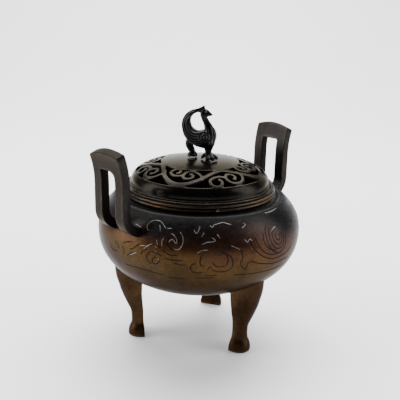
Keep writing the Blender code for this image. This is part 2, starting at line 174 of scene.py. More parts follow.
def resampled(curve, count):
    # Points at even steps of length along a curve.
    length = lengths(curve)
    at = np.linspace(0, length[-1], count)
    return np.stack([np.interp(at, length, curve[:, i]) for i in range(curve.shape[1])], 1)


def throughPoints(knots, perSpan):
    # Catmull-Rom curve: each span is a cubic whose ends lean on the neighbouring knots.
    knots = np.asarray(knots, float)
    ends = np.vstack([2 * knots[0] - knots[1], knots, 2 * knots[-1] - knots[-2]])
    t = np.linspace(0, 1, perSpan, endpoint=False)[None, :, None]
    a, b, c, d = (ends[i:len(ends) - 3 + i][:, None, :] for i in range(4))
    spans = 0.5 * (2 * b + (c - a) * t + (2 * a - 5 * b + 4 * c - d) * t ** 2 + (3 * b - a - 3 * c + d) * t ** 3)
    return np.vstack([spans.reshape(-1, knots.shape[1]), knots[-1:]])


def turnedPoints(profile, angles):
    # Profile of (radius, height) carried round the Z axis: x = r cos t, y = r sin t.
    return polar(profile[:, :1], angles, np.broadcast_to(profile[:, 1:2], (len(profile), len(angles))))


def welded(mesh):
    # Closes seams and poles whose points coincide.
    bm = bmesh.new()
    bm.from_mesh(mesh)
    bmesh.ops.remove_doubles(bm, verts=bm.verts, dist=0.002 * mm)
    bmesh.ops.dissolve_degenerate(bm, edges=bm.edges, dist=0.0005 * mm)
    bm.to_mesh(mesh)
    bm.free()
    return mesh


def turnedOut(mesh):
    # Turns all faces of a closed mesh to point out.
    bm = bmesh.new()
    bm.from_mesh(mesh)
    bmesh.ops.recalc_face_normals(bm, faces=bm.faces)
    bm.to_mesh(mesh)
    bm.free()
    return mesh


def piece(name, mesh, material, node=None):
    item = placed(name, mesh)
    mesh.materials.append(material)
    mesh.shade_smooth()
    if node:
        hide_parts(node)
    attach(item, "root")
    return item


# Shader groups, each made once

def newGroup(name, inputs, outputs):
    group = bpy.data.node_groups.new(name, "ShaderNodeTree")
    for label, kind, value in inputs:
        socket = group.interface.new_socket(name=label, in_out="INPUT", socket_type=kind)
        socket.default_value = value
    for label, kind in outputs:
        group.interface.new_socket(name=label, in_out="OUTPUT", socket_type=kind)
    return group, group.nodes.new("NodeGroupInput"), group.nodes.new("NodeGroupOutput")


def fill(tree, made, values):
    # Links or sets a node's inputs by name or number.
    for key, value in values.items():
        if isinstance(value, bpy.types.NodeSocket):
            tree.links.new(value, made.inputs[key])
        else:
            made.inputs[key].default_value = value


def node(tree, kind, values=None, **settings):
    made = tree.nodes.new("ShaderNode" + kind)
    for key, value in settings.items():
        setattr(made, key, value)
    fill(tree, made, values or {})
    return made


def maths(tree, operation, a, b, clamp=False):
    return node(tree, "Math", {0: a, 1: b}, operation=operation, use_clamp=clamp).outputs[0]


def plus(tree, a, b):
    return maths(tree, "ADD", a, b)


def minus(tree, a, b):
    return maths(tree, "SUBTRACT", a, b)


def times(tree, a, b):
    return maths(tree, "MULTIPLY", a, b)


def blendColour(tree, factor, a, b, mode="MIX"):
    made = node(tree, "Mix", {0: factor, 6: a, 7: b}, data_type="RGBA", blend_type=mode)
    return made.outputs[2]


def ranged(tree, value, low, high, outLow=0.0, outHigh=1.0):
    values = {0: value, 1: low, 2: high, 3: outLow, 4: outHigh}
    return node(tree, "MapRange", values, interpolation_type="SMOOTHSTEP").outputs[0]


def noise(tree, vector, scale, detail=3.0, roughness=0.55):
    values = {"Vector": vector, "Scale": scale, "Detail": detail, "Roughness": roughness}
    return node(tree, "TexNoise", values).outputs[0]


def newMaterial(name):
    material = bpy.data.materials.new(name)
    material.use_nodes = True
    return material, material.node_tree, material.node_tree.nodes["Principled BSDF"]


def makeAgedBronze():
    # Cast bronze under a brown skin: clouds, small mottling, rubbed edges, fine grain, hairline scratches, and painted
    # shade where the marks ask for it.
    group, source, sink = newGroup("agedBronze", [
        ("Tone", "NodeSocketColor", (0.1, 0.05, 0.02, 1)), ("Deep", "NodeSocketColor", (0.5, 0.5, 0.5, 1)),
        ("Rubbed", "NodeSocketColor", (0.3, 0.2, 0.1, 1)), ("Wear", "NodeSocketFloat", 0.0),
        ("Painted Shade", "NodeSocketFloat", 0.0), ("Cloud Size", "NodeSocketFloat", 20.0),
        ("Roughness", "NodeSocketFloat", 0.35),
    ], [("Colour", "NodeSocketColor"), ("Roughness", "NodeSocketFloat"), ("Height", "NodeSocketFloat")])
    given = source.outputs
    place = node(group, "TexCoord").outputs["Object"]
    clouds = noise(group, place, maths(group, "DIVIDE", 1000.0, given["Cloud Size"]), 4.0, 0.6)
    mottle = noise(group, place, 520.0, 4.0, 0.75)
    grain = noise(group, place, 2600.0, 2.0, 0.6)
    stretch = node(group, "Mapping", {"Vector": place, "Rotation": (0.35, 0.2, 0.5),
                                      "Scale": (260.0, 300.0, 4200.0)}).outputs[0]
    hairs = ranged(group, noise(group, stretch, 1.0, 2.0, 0.5), 0.62, 0.74)
    # tone: darker clouds, then rubbed metal, painted shade in hollows and shaded places, and a hint of the scratches
    shade = ranged(group, plus(group, times(group, clouds, 0.5), times(group, mottle, 0.5)), 0.38, 0.6)
    deep = blendColour(group, 1.0, given["Tone"], given["Deep"], "MULTIPLY")
    skin = blendColour(group, shade, deep, given["Tone"])
    patches = ranged(group, plus(group, clouds, times(group, mottle, 0.5)), 0.5, 1.0, 0.25, 1.2)
    rubbing = times(group, given["Wear"], patches)
    rubbed = blendColour(group, maths(group, "MINIMUM", rubbing, 1.0), skin, given["Rubbed"])
    # painted shade: the colour is pulled towards near black where the shade input is high
    withPaintedShade = blendColour(group, given["Painted Shade"], rubbed, (0.004, 0.0035, 0.003, 1))
    colour = blendColour(group, times(group, hairs, 0.12), withPaintedShade, given["Rubbed"])
    rough = plus(group, given["Roughness"], times(group, minus(group, mottle, 0.5), 0.22))
    rough = plus(group, rough, times(group, given["Painted Shade"], 0.3))
    rough = maths(group, "SUBTRACT", rough, times(group, rubbing, 0.07), True)
    height = plus(group, times(group, grain, 0.35), times(group, mottle, 0.65))
    height = minus(group, height, times(group, hairs, 0.25))
    fill(group, sink, {"Colour": colour, "Roughness": rough, "Height": height})
    return group


agedBronze = makeAgedBronze()


def bronzeMaterial(name, look, tone=None):
    # A bronze finish; tone may be a function that gives a colour socket in place of the plain tone.
    material, tree, shader = newMaterial(name)
    skin = node(tree, "Group", node_tree=agedBronze)
    wear, recess = (node(tree, "Attribute", attribute_name=key).outputs["Fac"] for key in ("wear", "recess"))
    fill(tree, skin, {"Tone": tone(tree) if tone else (*look["tone"], 1), "Deep": (*look["deep"], 1),
                      "Rubbed": (*look["rubbed"], 1), "Wear": wear, "Painted Shade": recess,
                      "Cloud Size": look["cloudSize"], "Roughness": look["roughness"]})
    bump = node(tree, "Bump", {"Strength": look["bump"], "Distance": 0.0004, "Height": skin.outputs["Height"]})
    fill(tree, shader, {"Base Color": skin.outputs["Colour"], "Roughness": skin.outputs["Roughness"],
                        "Normal": bump.outputs["Normal"], "Metallic": look["metallic"],
                        "Specular Tint": (*look["rim"], 1), "Specular IOR Level": 0.25,
                        "Coat Weight": look["wax"], "Coat Roughness": 0.25})
    return material


finishes = {
    # deep is the tint of the skin's darker clouds, rim the tint of reflections at a glancing angle
    "belly": {"deep": (0.58, 0.52, 0.48), "rubbed": (0.27, 0.15, 0.065), "cloudSize": 16.0, "roughness": 0.33,
              "bump": 0.3, "metallic": 0.76, "wax": 0.05, "rim": (0.42, 0.42, 0.43)},
    "leg": {"tone": (0.032, 0.0165, 0.0072), "deep": (0.55, 0.48, 0.42), "rubbed": (0.15, 0.085, 0.036),
            "cloudSize": 12.0, "roughness": 0.36, "bump": 0.25, "metallic": 0.75, "wax": 0.0,
            "rim": (0.40, 0.38, 0.36)},
    "ear": {"tone": (0.013, 0.0115, 0.0108), "deep": (0.62, 0.58, 0.58), "rubbed": (0.055, 0.045, 0.034),
            "cloudSize": 14.0, "roughness": 0.32, "bump": 0.2, "metallic": 0.85, "wax": 0.0,
            "rim": (0.6, 0.57, 0.52)},
    "lid": {"tone": (0.012, 0.0105, 0.009), "deep": (0.6, 0.58, 0.6), "rubbed": (0.045, 0.037, 0.028),
            "cloudSize": 18.0, "roughness": 0.23, "bump": 0.12, "metallic": 0.85, "wax": 0.0,
            "rim": (0.55, 0.53, 0.48)},
    "bird": {"tone": (0.0045, 0.0045, 0.0062), "deep": (0.6, 0.6, 0.6), "rubbed": (0.10, 0.10, 0.095),
             "cloudSize": 6.0, "roughness": 0.22, "bump": 0.1, "metallic": 0.8, "wax": 0.1, "rim": (0.5, 0.5, 0.52)},
}

# Height in millimetres and colour of the belly's skin, from the bottom up
bellyTones = [(36, (0.046, 0.028, 0.0125)), (55, (0.044, 0.0260, 0.0090)), (64, (0.053, 0.0290, 0.0070)),
              (70, (0.053, 0.0260, 0.0075)), (77, (0.046, 0.0205, 0.0085)), (84, (0.036, 0.0175, 0.0120)),
              (90, (0.017, 0.0135, 0.0125)), (94, (0.0120, 0.0130, 0.0130))]


def bellyTone(tree):
    # The skin's colour by height, with the zones' limits pushed up and down by a broad noise, and by a painted
    # reflection and a painted shade at two sides.
    place = node(tree, "TexCoord").outputs["Object"]
    x, y, height = node(tree, "SeparateXYZ", {0: place}).outputs
    wander = times(tree, minus(tree, noise(tree, place, 28.0, 3.0), 0.5), 0.026)
    # painted reflection: the gold reaches 13 mm higher by the -X ear, standing in for the left lamp's reflection;
    # painted shade: the dark shoulder comes 7 mm lower at the +X -Y side
    across = times(tree, minus(tree, x, y), 0.7)
    reflectedGold = times(tree, ranged(tree, x, -0.062, -0.040, -0.013, 0.0), ranged(tree, height, 0.080, 0.088, 1.0, 0.0))
    shadedShoulder = times(tree, ranged(tree, across, 0.028, 0.056, 0.0, 0.007), ranged(tree, height, 0.070, 0.078))
    wander = plus(tree, wander, plus(tree, reflectedGold, shadedShoulder))
    low, high = bellyTones[0][0] * mm, bellyTones[-1][0] * mm
    share = node(tree, "MapRange", {0: plus(tree, height, wander), 1: low, 2: high}).outputs[0]
    ramp = node(tree, "ValToRGB", {0: share})
    stops = ramp.color_ramp.elements
    while len(stops) < len(bellyTones):
        stops.new(0.5)
    for stop, (at, colour) in zip(stops, bellyTones):
        stop.position = (at * mm - low) / (high - low)
        stop.color = (*colour, 1)
    return ramp.outputs[0]


tones = {"belly": bellyTone}
bronze = {name: bronzeMaterial(name + "Bronze", look, tones.get(name)) for name, look in finishes.items()}
print("bronze finishes made")


# Bowl

bowlShape = {
    "bellyRadius": 65.0, "bellyHeight": 75.0, "depth": 40.0, "lowerFullness": 2.24,
    "shoulderRise": 36.0, "shoulderFullness": 2.1, "shoulderEnd": 53.6, "wall": 3.0,
    "neckRadius": 47.2, "neckHeight": 97.0, "mouthRadius": 43.0, "lowerBead": 1.15, "upperBead": 0.9,
    "ledgeSink": 0.9, "ease": 0.6, "segments": 320, "brassSpot": -121.4, "spotWidth": 0.7, "beadWear": 0.1,
    "rubbedPlaces": [(-75, 13, 0.3), (-160, 14, 0.12)],  # angle, spread, added wear
    # where the painted shade along the brow above the shoulder starts, and where the painted shade of the valleys by
    # the beads lies
    "browFrom": 94.3, "valleyRadius": 51.5, "valleyFrom": 95.9,
}


def bowlOutline(count=400):
    # Two quarter superellipses: r = R cos(a)^(2/n), z = belly -+ rise sin(a)^(2/n).
    s = bowlShape

    def quarter(a, reach, power):
        radius = s["bellyRadius"] * np.cos(a).clip(0) ** power
        return np.stack([radius, s["bellyHeight"] + reach * np.sin(a) ** power], 1)

    lower = quarter(np.linspace(np.pi / 2, 0, count), -s["depth"], 2 / s["lowerFullness"])
    lower[0, 0] = 0
    end = math.acos((s["shoulderEnd"] / s["bellyRadius"]) ** (s["shoulderFullness"] / 2))
    upper = quarter(np.linspace(0, end, count // 2)[1:], s["shoulderRise"], 2 / s["shoulderFullness"])
    return np.vstack([lower, upper])


def insetCurve(curve, distance):
    # Moves an outline along its left-hand normal, towards the axis.
    slope = directions(curve)
    slope[0] = (1, 0)
    moved = curve + distance * np.stack([-slope[:, 1], slope[:, 0]], 1)
    moved[0, 0] = 0
    return moved


outline = bowlOutline()
midWall = insetCurve(outline, bowlShape["wall"] / 2)


def bowlProfile():
    # Outside from the pole up, the ledge, both beads, the rim, then the inside back to the pole.
    s = bowlShape
    neck, mouth, low, high = s["neckRadius"], s["mouthRadius"], s["lowerBead"], s["upperBead"]
    end, ledge = outline[-1], s["neckHeight"] - s["ledgeSink"]
    step = throughPoints([end, (end[0] - 0.9, end[1] + 0.22), (end[0] - 1.8, end[1] + 0.14),
                          (end[0] - 2.7, ledge + 0.16), (end[0] - 3.6, ledge + 0.12), (neck + 1.3, ledge + 0.3),
                          (neck + 0.3, ledge + 0.75), (neck, s["neckHeight"])], 4)[1:]
    lowCentre = s["neckHeight"] + 0.1 + low
    highCentre = lowCentre + low + high
    rim, shelf, ease = highCentre + high, s["neckHeight"] - s["wall"], s["ease"]
    inner = insetCurve(outline, s["wall"])
    inner = resampled(inner[inner[:, 1] < shelf - ease], 56)[::-1]
    profile = np.vstack([resampled(outline, 116), step, arcPoints((neck, lowCentre), low, -90, 90, 13),
                         arcPoints((neck, highCentre), high, -90, 90, 11)[1:],
                         arcPoints((mouth + ease, rim - ease), ease, 90, 180, 6), [(mouth, shelf + ease)],
                         arcPoints((mouth + ease, shelf + ease), ease, 180, 270, 4), inner])
    return profile, (lowCentre + highCentre) / 2


def buildBowl():
    s = bowlShape
    profile, betweenBeads = bowlProfile()
    turn = np.arange(s["segments"]) * 2 * np.pi / s["segments"]
    points = turnedPoints(profile, turn).reshape(-1, 3)
    quads = facingOut(points, gridFaces(len(profile), len(turn)))
    r, z = profile[:, :1], profile[:, 1:]
    angles = np.degrees(turn) - 360
    onBead = (r > s["neckRadius"] + 0.45) & (z > s["neckHeight"])
    # the beads are rubbed a little all round and more at two places, and one spot is down to the brass
    rubbed = s["beadWear"] + sum(share * bell(angles, at, spread) for at, spread, share in s["rubbedPlaces"])
    spot = 3.0 * bell(angles, s["brassSpot"], s["spotWidth"]) * (z < s["neckHeight"] + 2.4)
    # painted shade in the two valleys by the beads, inside the bowl, and along the shoulder's brow, where it darkens
    # the light line on the edge
    valleys = 0.2 * bell(z, s["neckHeight"], 0.5) + bell(z, betweenBeads + 0.1, 0.3)
    byBeads = (r < s["valleyRadius"]) & (z > s["valleyFrom"])
    brow = 0.85 * bell(r, s["shoulderEnd"], 1.7) * (z > s["browFrom"])
    inside = np.arange(len(r))[:, None] > len(r) - 60
    recess = np.where(inside, 0.55, np.where(byBeads, 0.9 * valleys, brow))
    marks = {"wear": (onBead * (rubbed + spot)).ravel(),
             "recess": np.broadcast_to(recess.clip(0, 1), (len(r), len(turn))).ravel()}
    mesh = welded(meshOf("bowl", points, [quads], marks))
    return piece("bowl", mesh, bronze["belly"], "vessel")


buildBowl()
print("bowl turned")


# Inlay: silver wire and cut lines, as strips that follow the bowl's surface

# Each stroke is a run of (angle in degrees, height in millimetres).
silverStrokes = [
    [(-162.2, 87.9), (-163.7, 89.1), (-164.1, 90.6), (-163, 92.2), (-160.9, 93.3), (-157.7, 93.4), (-155.3, 92.5),
     (-153.5, 91.1), (-152.7, 90.4)],
    [(-152.2, 90.5), (-149.3, 90.8)], [(-156.8, 91.6), (-156, 90.3), (-155.4, 88.4)], [(-172.1, 89.7), (-167.3, 88.8)],
    [(-152.7, 85.7), (-153.4, 84), (-153, 81)],
    [(-144.5, 89.5), (-143, 87.9), (-142.3, 85.7), (-142.5, 83.3), (-143.7, 81), (-145.2, 80.2), (-146.8, 80.7)],
    [(-149.7, 83.9), (-148.8, 85.2), (-147.5, 85.3), (-146.2, 83.8), (-145.5, 83.8), (-145.9, 85.9), (-147.6, 87.8),
     (-149.3, 88.3)],
    [(-165.9, 79.2), (-163.2, 79.8), (-161.6, 79.8), (-160, 81), (-158.4, 81.8)],
    [(-163, 77.8), (-162.2, 79.1), (-160, 80.7)], [(-156.4, 84.1), (-155.5, 81.5)], [(-157.1, 80.9), (-155.6, 80.1)],
    [(-157.4, 78.3), (-155.7, 77.4)], [(-154.8, 73.7), (-154.5, 72.8)],
    [(-172.5, 71.8), (-169.7, 73.3), (-167.6, 74.8)],
    [(-137, 90.8), (-135.5, 89.2), (-134.2, 91.1), (-133.7, 92.7)], [(-131.5, 89.5), (-132.8, 87.5)],
    [(-128, 93), (-126.9, 92), (-125.7, 93.2)],
    [(-125.7, 93.2), (-122.6, 93.8), (-120.1, 94.1), (-118.5, 93.6), (-115.6, 92.9)], [(-124.5, 88.9), (-123.1, 86.6)],
    [(-132.8, 83.7), (-130, 84.8), (-125.8, 85.4), (-126.3, 86.5), (-127.8, 87.3)],
    [(-135, 79), (-132.5, 80.5), (-129.5, 80.8)], [(-109.8, 90.8), (-107.5, 91.8), (-107.1, 92.6), (-108.2, 93)],
    [(-109.8, 85.3), (-108.3, 83.5), (-106.6, 84.9), (-105.3, 83.6)], [(-117.5, 82.6), (-115.4, 81.6), (-112.7, 79.9)],
    [(-91.5, 86.2), (-88.5, 87.7), (-86.6, 87.9)], [(-89.5, 95.2), (-83.3, 95.1), (-75.9, 95.4)],
]
cutStrokes = [
    [(-152.5, 79.1), (-150.8, 77.9), (-148.1, 76.8), (-144.5, 77.3)],
    [(-150.3, 86), (-150.5, 83.3), (-149.4, 81.3), (-147.2, 79.8)], [(-151.3, 74.6), (-147.6, 73.9), (-141.9, 74.2)],
    [(-158.6, 77.8), (-160.8, 75.2), (-161.4, 72.6), (-160.3, 70.3), (-158.3, 69.8)],
    [(-155.6, 74.1), (-157.3, 73.8), (-158.2, 72), (-157.7, 70.2), (-155.7, 70.3), (-154.3, 72.2), (-154.3, 74.1)],
    [(-158.6, 77.8), (-156.2, 77), (-154, 76.2), (-152.9, 75.5)],
    [(-172.4, 75.4), (-169.7, 76.7), (-167.8, 78.7), (-166, 79.7)],
    [(-189, 75), (-188.1, 72.1), (-186.1, 70.8), (-182.3, 70.9)],
    [(-178, 64.2), (-170, 64.6), (-161, 64.4), (-152, 63.1)], [(-136, 63.3), (-130, 63.2), (-125, 63.3)],
    [(-116, 64.5), (-104, 63.2), (-90, 62.2), (-77, 61.7)],
    [(-135.4, 73), (-137.4, 72), (-138.1, 69.8), (-137.3, 67.8), (-135.3, 66.9), (-131.7, 67)],
    [(-133, 77.3), (-133.4, 73.7), (-132.8, 71.2), (-131.8, 71.9)], [(-129.7, 68.6), (-128.8, 70.3), (-127.3, 70.9)],
    [(-127.4, 73.7), (-125.8, 71.5), (-123.2, 70.5), (-120.6, 71.1)],
    [(-127.7, 69.6), (-125.1, 67.8), (-121.9, 67.3), (-118.8, 68), (-117, 69.8), (-116.7, 72.9), (-117.6, 76.1),
     (-120.3, 78.4)],
    [(-112.5, 71.7), (-111.1, 68.9), (-108.9, 67.2), (-108.6, 69.8), (-107.6, 71.5), (-105.5, 71.5), (-101.5, 69.6),
     (-96.5, 68), (-90.8, 66.6), (-83.5, 66.2), (-75.4, 66)],
    [(-113.2, 80.6), (-111.9, 78.2), (-111.4, 75), (-112.1, 72.6), (-112.6, 71.2)],
    [(-184.2, 77), (-181.4, 75.6), (-180.6, 73)], [(-177, 70.6), (-176.4, 73.5), (-178, 76)],
    [(-174.6, 71), (-172, 72.4), (-170.4, 74.6)], [(-177.5, 77.4), (-174.5, 79.3), (-170.6, 80.2)],
    [(-150.5, 62.4), (-146, 62.2), (-141.2, 62.3)], [(-165, 74.2), (-163.4, 76.8), (-161.2, 78.3)],
    [(-146.6, 72.4), (-143.2, 71.4), (-140.6, 71.8)], [(-122.4, 79.6), (-119.8, 77), (-119.2, 73.6), (-120.4, 71.2)],
    [(-130.5, 65.4), (-127.5, 64.9), (-124.6, 65.3)],
    [(-107.1, 86.5), (-105.6, 80.9), (-102.1, 76.1), (-97.2, 72.4), (-90.9, 70), (-83.7, 69.7), (-77.6, 70.9),
     (-73, 73.9)],
    [(-103.5, 86), (-101.9, 80.8), (-98.1, 75.8), (-92.1, 72.7), (-85.3, 72.6)],
    [(-97.6, 87.1), (-97.8, 81.7), (-94.6, 77.1), (-89, 74.7)],
]
inlayShape = {
    "wireHalf": 0.22, "wireProud": 0.09, "lineHalf": 0.34, "lineProud": 0.03, "sunk": 0.3, "step": 0.45,
    "endWidth": 0.5, "widening": 6.0,  # share of the width at a stroke's ends, and its growth along the stroke
    # turns about the axis at which the whole set comes again, and the smaller groups that fill the gaps
    "turns": (0.0, 180.0), "fillTurns": (107.0, 287.0), "fillFrom": -165.0, "fillTo": -141.0,
    "teardrop": (-87.4, 82.7), "rings": 4, "workRadius": 60.0,
}


def teardropRings():
    # Nested rings about the teardrop's eye that lean to the left as they grow.
    s = inlayShape
    rings = []
    for index in range(s["rings"]):
        size = 2.0 + 2.25 * index
        turn = np.radians(np.linspace(100 + 8 * index, 400 - 14 * index, 18))
        across = size * (np.cos(turn) - 0.22 * np.sin(turn)) * 0.95
        rise = size * np.sin(turn) * (1.05 + 0.1 * (np.sin(turn) < 0))
        angle = s["teardrop"][0] - 0.25 * index + across / 1.1
        rings.append(list(zip(angle, (s["teardrop"][1] + rise).clip(62, 94.5))))
    return rings


def turnedSets(strokes):
    s = inlayShape
    sets = [np.array(stroke) + (turn, 0) for turn in s["turns"] for stroke in strokes]
    middle = [stroke for stroke in strokes if s["fillFrom"] < np.mean([p[0] for p in stroke]) < s["fillTo"]]
    return sets + [np.array(stroke) + (turn, 0) for turn in s["fillTurns"] for stroke in middle]


def surfaceStrip(stroke, half, proud):
    # A strip with a low arched back: place = surface + side * across + normal * rise, thinned to its ends.
    s = inlayShape
    scale = np.array([np.radians(1) * s["workRadius"], 1])
    scaled = resampled(throughPoints(stroke, 10) * scale, 200)
    count = max(int(lengths(scaled)[-1] / s["step"]), 4)
    angle, height = (resampled(scaled, count) / (s["workRadius"], 1)).T
    radius, run, rise = (np.interp(height, outline[:, 1], value) for value in (outline[:, 0], *directions(outline).T))
    place, normal = polar(radius, angle, height), polar(rise, angle, -run)
    side = np.cross(normal, directions(place))
    share = np.linspace(0, 1, count)
    taper = np.minimum(1, s["endWidth"] + s["widening"] * np.minimum(share, 1 - share))[:, None]
    section = [(-1, -s["sunk"]), (-0.95, 0.2 * proud), (-0.55, 0.8 * proud), (0, proud), (0.55, 0.8 * proud),
               (0.95, 0.2 * proud), (1, -s["sunk"])]
    return tube(np.stack([place + side * (across * half * taper) + normal * lift for across, lift in section], 1))


def buildInlay(name, strokes, half, proud, material):
    mesh = meshOf(name, *merged([surfaceStrip(stroke, half, proud) for stroke in strokes]))
    return piece(name, turnedOut(mesh), material)


def inlayMaterial(name, dark, bright, metallic, roughness, specular):
    # Two tones of one metal in fine speckles, with a light bump from the same noise.
    material, tree, shader = newMaterial(name)
    speck = noise(tree, node(tree, "TexCoord").outputs["Object"], 700.0, 3.0)
    colour = blendColour(tree, ranged(tree, speck, 0.36, 0.6), (*dark, 1), (*bright, 1))
    bump = node(tree, "Bump", {"Strength": 0.2, "Distance": 0.0003, "Height": speck})
    fill(tree, shader, {"Base Color": colour, "Roughness": plus(tree, times(tree, speck, 0.3), roughness),
                        "Normal": bump.outputs["Normal"], "Metallic": metallic, "Specular IOR Level": specular})
    return material


silverMetal = inlayMaterial("silverWire", (0.07, 0.065, 0.06), (0.16, 0.16, 0.157), 0.7, 0.3, 0.5)
cutShadow = inlayMaterial("cutLine", (0.002, 0.002, 0.002), (0.006, 0.004, 0.003), 0.0, 0.75, 0.1)
buildInlay("silver_wire", turnedSets(silverStrokes), inlayShape["wireHalf"], inlayShape["wireProud"], silverMetal)
buildInlay("cut_lines", turnedSets(cutStrokes + teardropRings()), inlayShape["lineHalf"], inlayShape["lineProud"],
           cutShadow)
print("inlay laid")


# Legs

legShape = {
    # height, inner distance, half width, depth
    "stations": [(0, 36.9, 7.2, 9.4), (0.6, 36.9, 7.65, 9.8), (3.2, 36.9, 7.5, 9.6), (5.4, 36.95, 7.05, 9.0),
                 (7.6, 37.1, 6.15, 7.8), (10.5, 37.4, 5.35, 7.2), (14, 37.5, 5.15, 7.2), (18, 37.5, 5.2, 7.9),
                 (22, 37.9, 6.0, 9.3), (27, 38.5, 7.7, 10.9), (32, 38.9, 8.9, 12.5), (37, 38.9, 9.6, 14.0),
                 (44, 38.9, 10.2, 15.9), (54, 38.9, 10.4, 16.7)],
    "count": 3, "firstAngle": -90.0, "outerFullness": 2.15, "innerFullness": 7.0, "innerDepth": 1.0,
    "rows": 96, "columns": 72, "soleRings": [0.0, 0.4, 0.75, 0.93],
    "creases": [(6.9, 0.7, 0.1), (8.3, 0.8, -0.1)],  # height, spread, outward push
}


def buildLeg(index):
    # Upright loft: each section is half a superellipse outside and a nearly flat one towards the axis.
    s = legShape
    rows = throughPoints(s["stations"], 8)
    rows = rows[np.linspace(0, len(rows) - 1, s["rows"]).round().astype(int)]
    z, inner, half, depth = (rows[:, i:i + 1] for i in range(4))
    t = (np.arange(s["columns"]) + 0.5) * 2 * np.pi / s["columns"]
    outer = np.cos(t) > 0
    power = 2 / np.where(outer, s["outerFullness"], s["innerFullness"])
    crease = sum(push * bell(z, at, spread) for at, spread, push in s["creases"])
    reach = np.where(outer, depth + crease - s["innerDepth"], s["innerDepth"])
    out = inner + s["innerDepth"] + reach * np.sign(np.cos(t)) * np.abs(np.cos(t)) ** power
    side = (half + 0.7 * crease) * np.sign(np.sin(t)) * np.abs(np.sin(t)) ** power
    # the sole is closed by smaller rings about its middle, the hidden top by a point
    shares = np.array(s["soleRings"])[:, None]
    middle = out[0].mean()
    out = np.vstack([middle + shares * (out[:1] - middle), out, np.full_like(out[:1], middle)])
    side = np.vstack([shares * side[:1], side, np.zeros_like(side[:1])])
    z = np.vstack([shares * 0, z, z[-1:]]) * np.ones_like(out)
    # what would reach into the bowl stops in the middle of its wall
    under = outline[:, 1] < bowlShape["bellyHeight"] - 1
    z = np.minimum(z, np.interp(np.hypot(out, side), *midWall[under].T))
    a = math.radians(s["firstAngle"] + 360.0 * index / s["count"])
    points = np.stack([out * math.cos(a) - side * math.sin(a), out * math.sin(a) + side * math.cos(a), z], -1)
    quads = facingOut(points.reshape(-1, 3), gridFaces(len(out), s["columns"]))
    edge = np.abs(side / (np.abs(side).max(1, keepdims=True) + 0.01)) ** 8
    wear = 0.35 * edge * (z > 9) + 0.6 * bell(z, 0.8, 0.7)
    # painted shade about the crease above the hoof and on the sole
    recess = 0.12 * bell(z, 6.5, 3.5) + (z < 0.02) * 0.6
    marks = {"wear": wear.clip(0, 1).ravel(), "recess": recess.clip(0, 1).ravel()}
    name = f"leg_{index + 1}"
    mesh = welded(meshOf(name, points.reshape(-1, 3), [quads], marks))
    return piece(name, mesh, bronze["leg"], "vessel")


for legIndex in range(legShape["count"]):
    buildLeg(legIndex)
print("legs lofted")


# Ears

earShape = {
    "thickness": 5.7, "halfWidth": 13.35, "slotHalf": 6.1, "centre": 69.8, "bendRadius": 10.7,
    "bendHeight": 97.0, "rootSlope": 30.0, "rootLength": 8.0, "flareHeight": 113.0, "flareRadius": 50.0,
    "flareAngle": 20.6, "crown": 2.5, "slotTop": 9.6, "outerCorner": 1.0, "edge": 0.55,
}


def earLine():
    # Middle line as (length, distance, height, tilt): straight root, quarter bend, upright, flare.
    s = earShape
    start = math.radians(s["rootSlope"])
    hub = s["centre"] - s["bendRadius"]
    tilt = np.linspace(start, np.pi / 2, 40)
    bend = np.stack([hub + s["bendRadius"] * np.sin(tilt), s["bendHeight"] - s["bendRadius"] * np.cos(tilt), tilt], 1)
    root = bend[:1] - np.array([[s["rootLength"] * math.cos(start), s["rootLength"] * math.sin(start), 0]])
    lean = np.linspace(0, math.radians(s["flareAngle"] + 8), 50)
    flare = np.stack([s["centre"] + s["flareRadius"] * (1 - np.cos(lean)),
                      s["flareHeight"] + s["flareRadius"] * np.sin(lean), np.pi / 2 - lean], 1)
    line = np.vstack([root, bend, flare])
    return np.column_stack([lengths(line[:, :2]), line])


def earBorders(line, slotCorners, lift, slant):
    # The slot's border and the ear's border in the flattened ear, as matching points (across, along).
    s = earShape
    slotHalf, halfWidth, bend = s["slotHalf"], s["halfWidth"], s["outerCorner"]
    flareStart = np.interp(s["flareHeight"], line[:, 2], line[:, 0])
    top = flareStart + s["flareRadius"] * math.radians(s["flareAngle"]) + lift
    slotTop = flareStart + s["flareRadius"] * math.asin(s["slotTop"] / s["flareRadius"])

    def half(sign, corner):
        def crownAt(y):
            # a low arch, higher to one side by the slant
            return top + s["crown"] * (1 - (y / halfWidth) ** 2) + slant * sign * y / halfWidth

        straight = np.linspace(0, slotTop - corner, 60)
        toMiddle = np.linspace(slotHalf - corner, 0, 9)[1:]
        inner = np.vstack([np.column_stack([np.full(60, slotHalf), straight]),
                           arcPoints((slotHalf - corner, slotTop - corner), corner, 0, 90, 15)[1:],
                           np.column_stack([toMiddle, np.full(8, slotTop)])])
        high = crownAt(halfWidth - bend)
        up = np.concatenate([straight, np.linspace(slotTop - corner, high - bend, 6)[1:]])
        over = np.concatenate([np.linspace(halfWidth - bend, slotHalf - corner, 4)[1:], toMiddle])
        outer = np.vstack([np.column_stack([np.full(65, halfWidth), up]),
                           arcPoints((halfWidth - bend, high - bend), bend, 0, 90, 7)[1:],
                           np.column_stack([over, crownAt(over)])])
        return inner * (sign, 1), outer * (sign, 1)

    (rightIn, rightOut), (leftIn, leftOut) = half(1, slotCorners[1]), half(-1, slotCorners[0])
    return np.vstack([rightIn, leftIn[::-1][1:]]), np.vstack([rightOut, leftOut[::-1][1:]])


